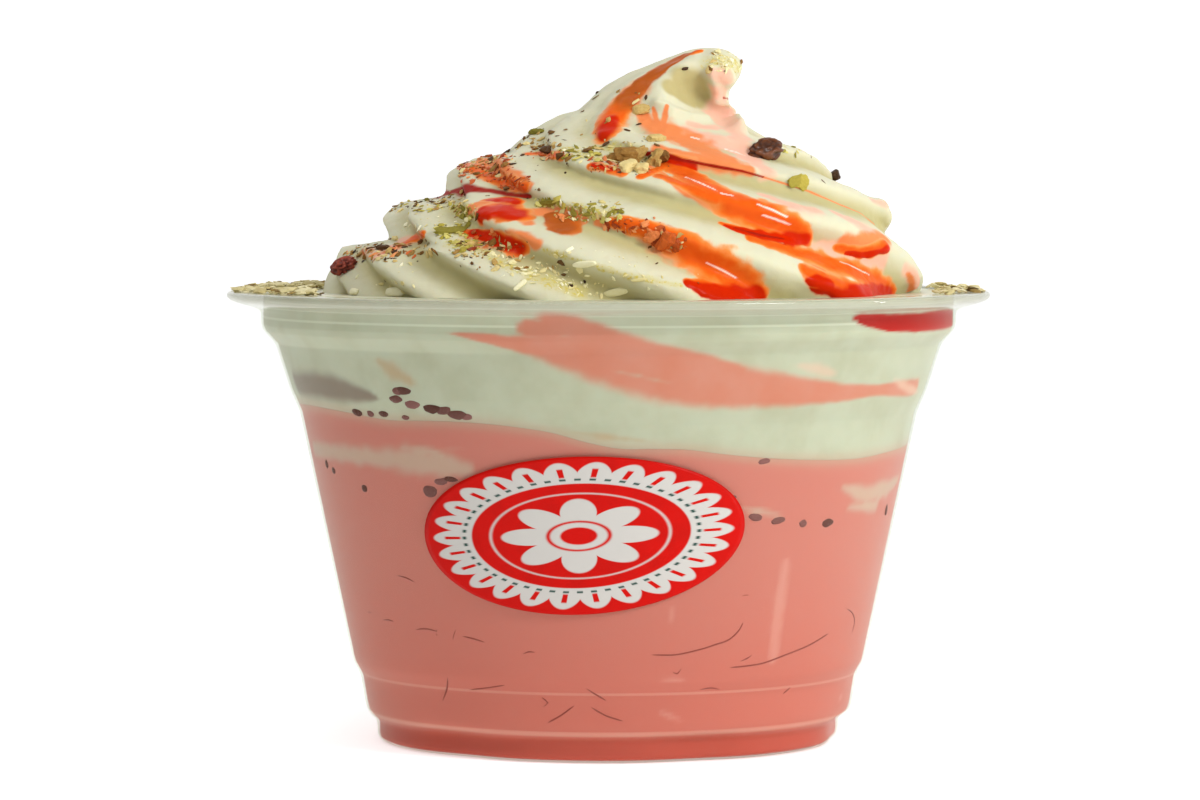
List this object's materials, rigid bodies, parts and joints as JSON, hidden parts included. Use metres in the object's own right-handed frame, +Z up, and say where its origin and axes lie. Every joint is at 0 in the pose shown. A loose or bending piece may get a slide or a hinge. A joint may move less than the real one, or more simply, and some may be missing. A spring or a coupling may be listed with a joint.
{
  "type": "falooda in a dessert cup",
  "caption": "Rose milk and pale soft serve in a clear tapered dessert cup, with a tall fluted swirl, red syrup runs, chopped nuts and a raisin on top.",
  "frame": {"origin": "centre of the cup's foot, on the surface that it stands on", "axes": "+Z up along the cup's axis; -Y towards the front, where the label is; +X to the right seen from the front"},
  "size_m": [0.117, 0.117, 0.1064],
  "materials": {
    "clear_plastic": "clear, glossy",
    "rose_milk": "smooth, milky",
    "soft_serve": "soft satin",
    "rose_streak": "smooth, milky",
    "rose_syrup": "wet gloss",
    "raisin": "wrinkled, half glossy",
    "dried_petal": "dry, crumpled",
    "chopped_nuts": "dry, rough",
    "label_print": "coated, glossy"
  },
  "bodies": {
    "root": {"cup": "clear_plastic", "rose_milk": "rose_milk", "cream_layer": "soft_serve", "rose_streak": "rose_streak", "syrup_pool": "rose_syrup", "soft_serve_swirl": "soft_serve", "raisin": "raisin", "dried_petal": "dried_petal", "rim_nuts_left": "chopped_nuts", "rim_nuts_right": "chopped_nuts", "label": "label_print"}
  },
  "joints": []
}
